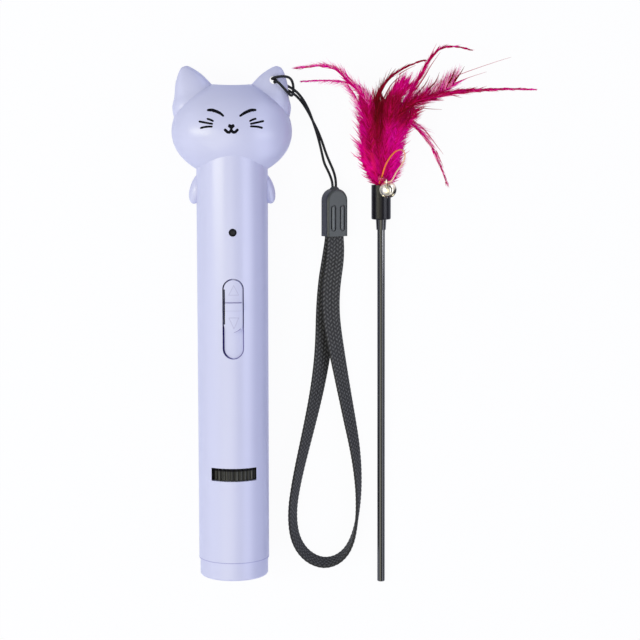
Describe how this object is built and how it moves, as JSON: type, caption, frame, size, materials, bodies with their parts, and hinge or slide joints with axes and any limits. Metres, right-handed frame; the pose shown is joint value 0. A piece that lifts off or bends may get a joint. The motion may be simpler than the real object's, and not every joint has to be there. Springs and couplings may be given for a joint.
{
  "type": "cat laser toy",
  "caption": "Hand-held light toy with a cat's head, slide switch, pattern wheel and wrist strap, lying beside its feather wand with a bell.",
  "frame": {"origin": "centre of the flat tail face, on the body's axis", "axes": "+Y along the body's axis from the tail to the head; +Z out of the face, the switch and the wheel; +X towards the ear that holds the strap. The toy lies on its back on a table at z = -13.5 mm."},
  "size_m": [0.1395, 0.2118, 0.0291],
  "materials": {
    "casing": "moulded, lilac, satin gloss",
    "clear": "clear, polished",
    "dark_plastic": "moulded, black",
    "white_plastic": "moulded, off white",
    "brass": "turned",
    "board": "green solder mask",
    "steel": "plated",
    "indicator": "dark, glossy",
    "wheel": "moulded, black, ribbed",
    "film": "printed film",
    "lead": "insulated wire",
    "cord": "braided, black",
    "webbing": "woven, black",
    "ferrule": "moulded, dark grey, satin",
    "rod": "glossy, black",
    "sleeve": "moulded, black, satin",
    "feather": "magenta feathers",
    "feather_dark": "dark crimson feathers",
    "bell": "plated, pale gold",
    "thread": "gold thread",
    "bead": "glossy, pink"
  },
  "bodies": {
    "root": {"front_shell": "casing", "rear_shell": "casing", "end_cap": "casing", "lens_window": "clear", "lens_tube": "dark_plastic", "projection_lens": "clear", "lens_ring": "dark_plastic", "inner_frame": "white_plastic", "light_module": "brass", "collimating_lens": "clear", "emitter_board": "board", "battery_cell": "steel", "main_board": "board", "slide_switch": "steel", "usb_socket": "steel", "indicator_led": "indicator", "wheel_spindle": "steel", "detent_spring": "steel", "wand_socket": "dark_plastic", "shell_screws": "steel", "emitter_leads": "lead", "battery_leads": "lead", "strap_cord": "cord", "strap_ferrule": "ferrule", "strap_webbing": "webbing"},
    "switch": {"switch_lever": "dark_plastic", "switch_button": "casing"},
    "wheel": {"pattern_wheel": "wheel", "pattern_film": "film"},
    "wand": {"wand_rod": "rod", "wand_collar": "rod", "wand_sleeve": "sleeve", "feather_tuft": "feather", "plume_far_left": "feather", "plume_left": "feather", "plume_short_left": "feather", "plume_crown": "feather_dark", "plume_high_right": "feather", "plume_striped": "feather_dark", "plume_right": "feather", "plume_low_right": "feather", "thread_loop": "thread", "bead": "bead"},
    "bell": {"bell_shell": "bell", "bell_loop": "bell", "bell_pellet": "steel"}
  },
  "joints": [
    {"name": "switch_slide", "type": "slide", "parent": "root", "child": "switch", "axis": [0, -1, 0], "range_m": [0, 0.0094]},
    {"name": "wheel_turn", "type": "hinge", "parent": "root", "child": "wheel", "pos_m": [0, 0.0412, 0.0029], "axis": [0, 1, 0], "continuous": true},
    {"name": "wand_lift", "type": "slide", "parent": "root", "child": "wand", "axis": [0, 0, 1], "range_m": [0, 0.05]},
    {"name": "bell_swing", "type": "hinge", "parent": "wand", "child": "bell", "pos_m": [0.05859, 0.15132, 0.00058], "axis": [-1, 0, 0], "range_deg": [0, 80]}
  ]
}
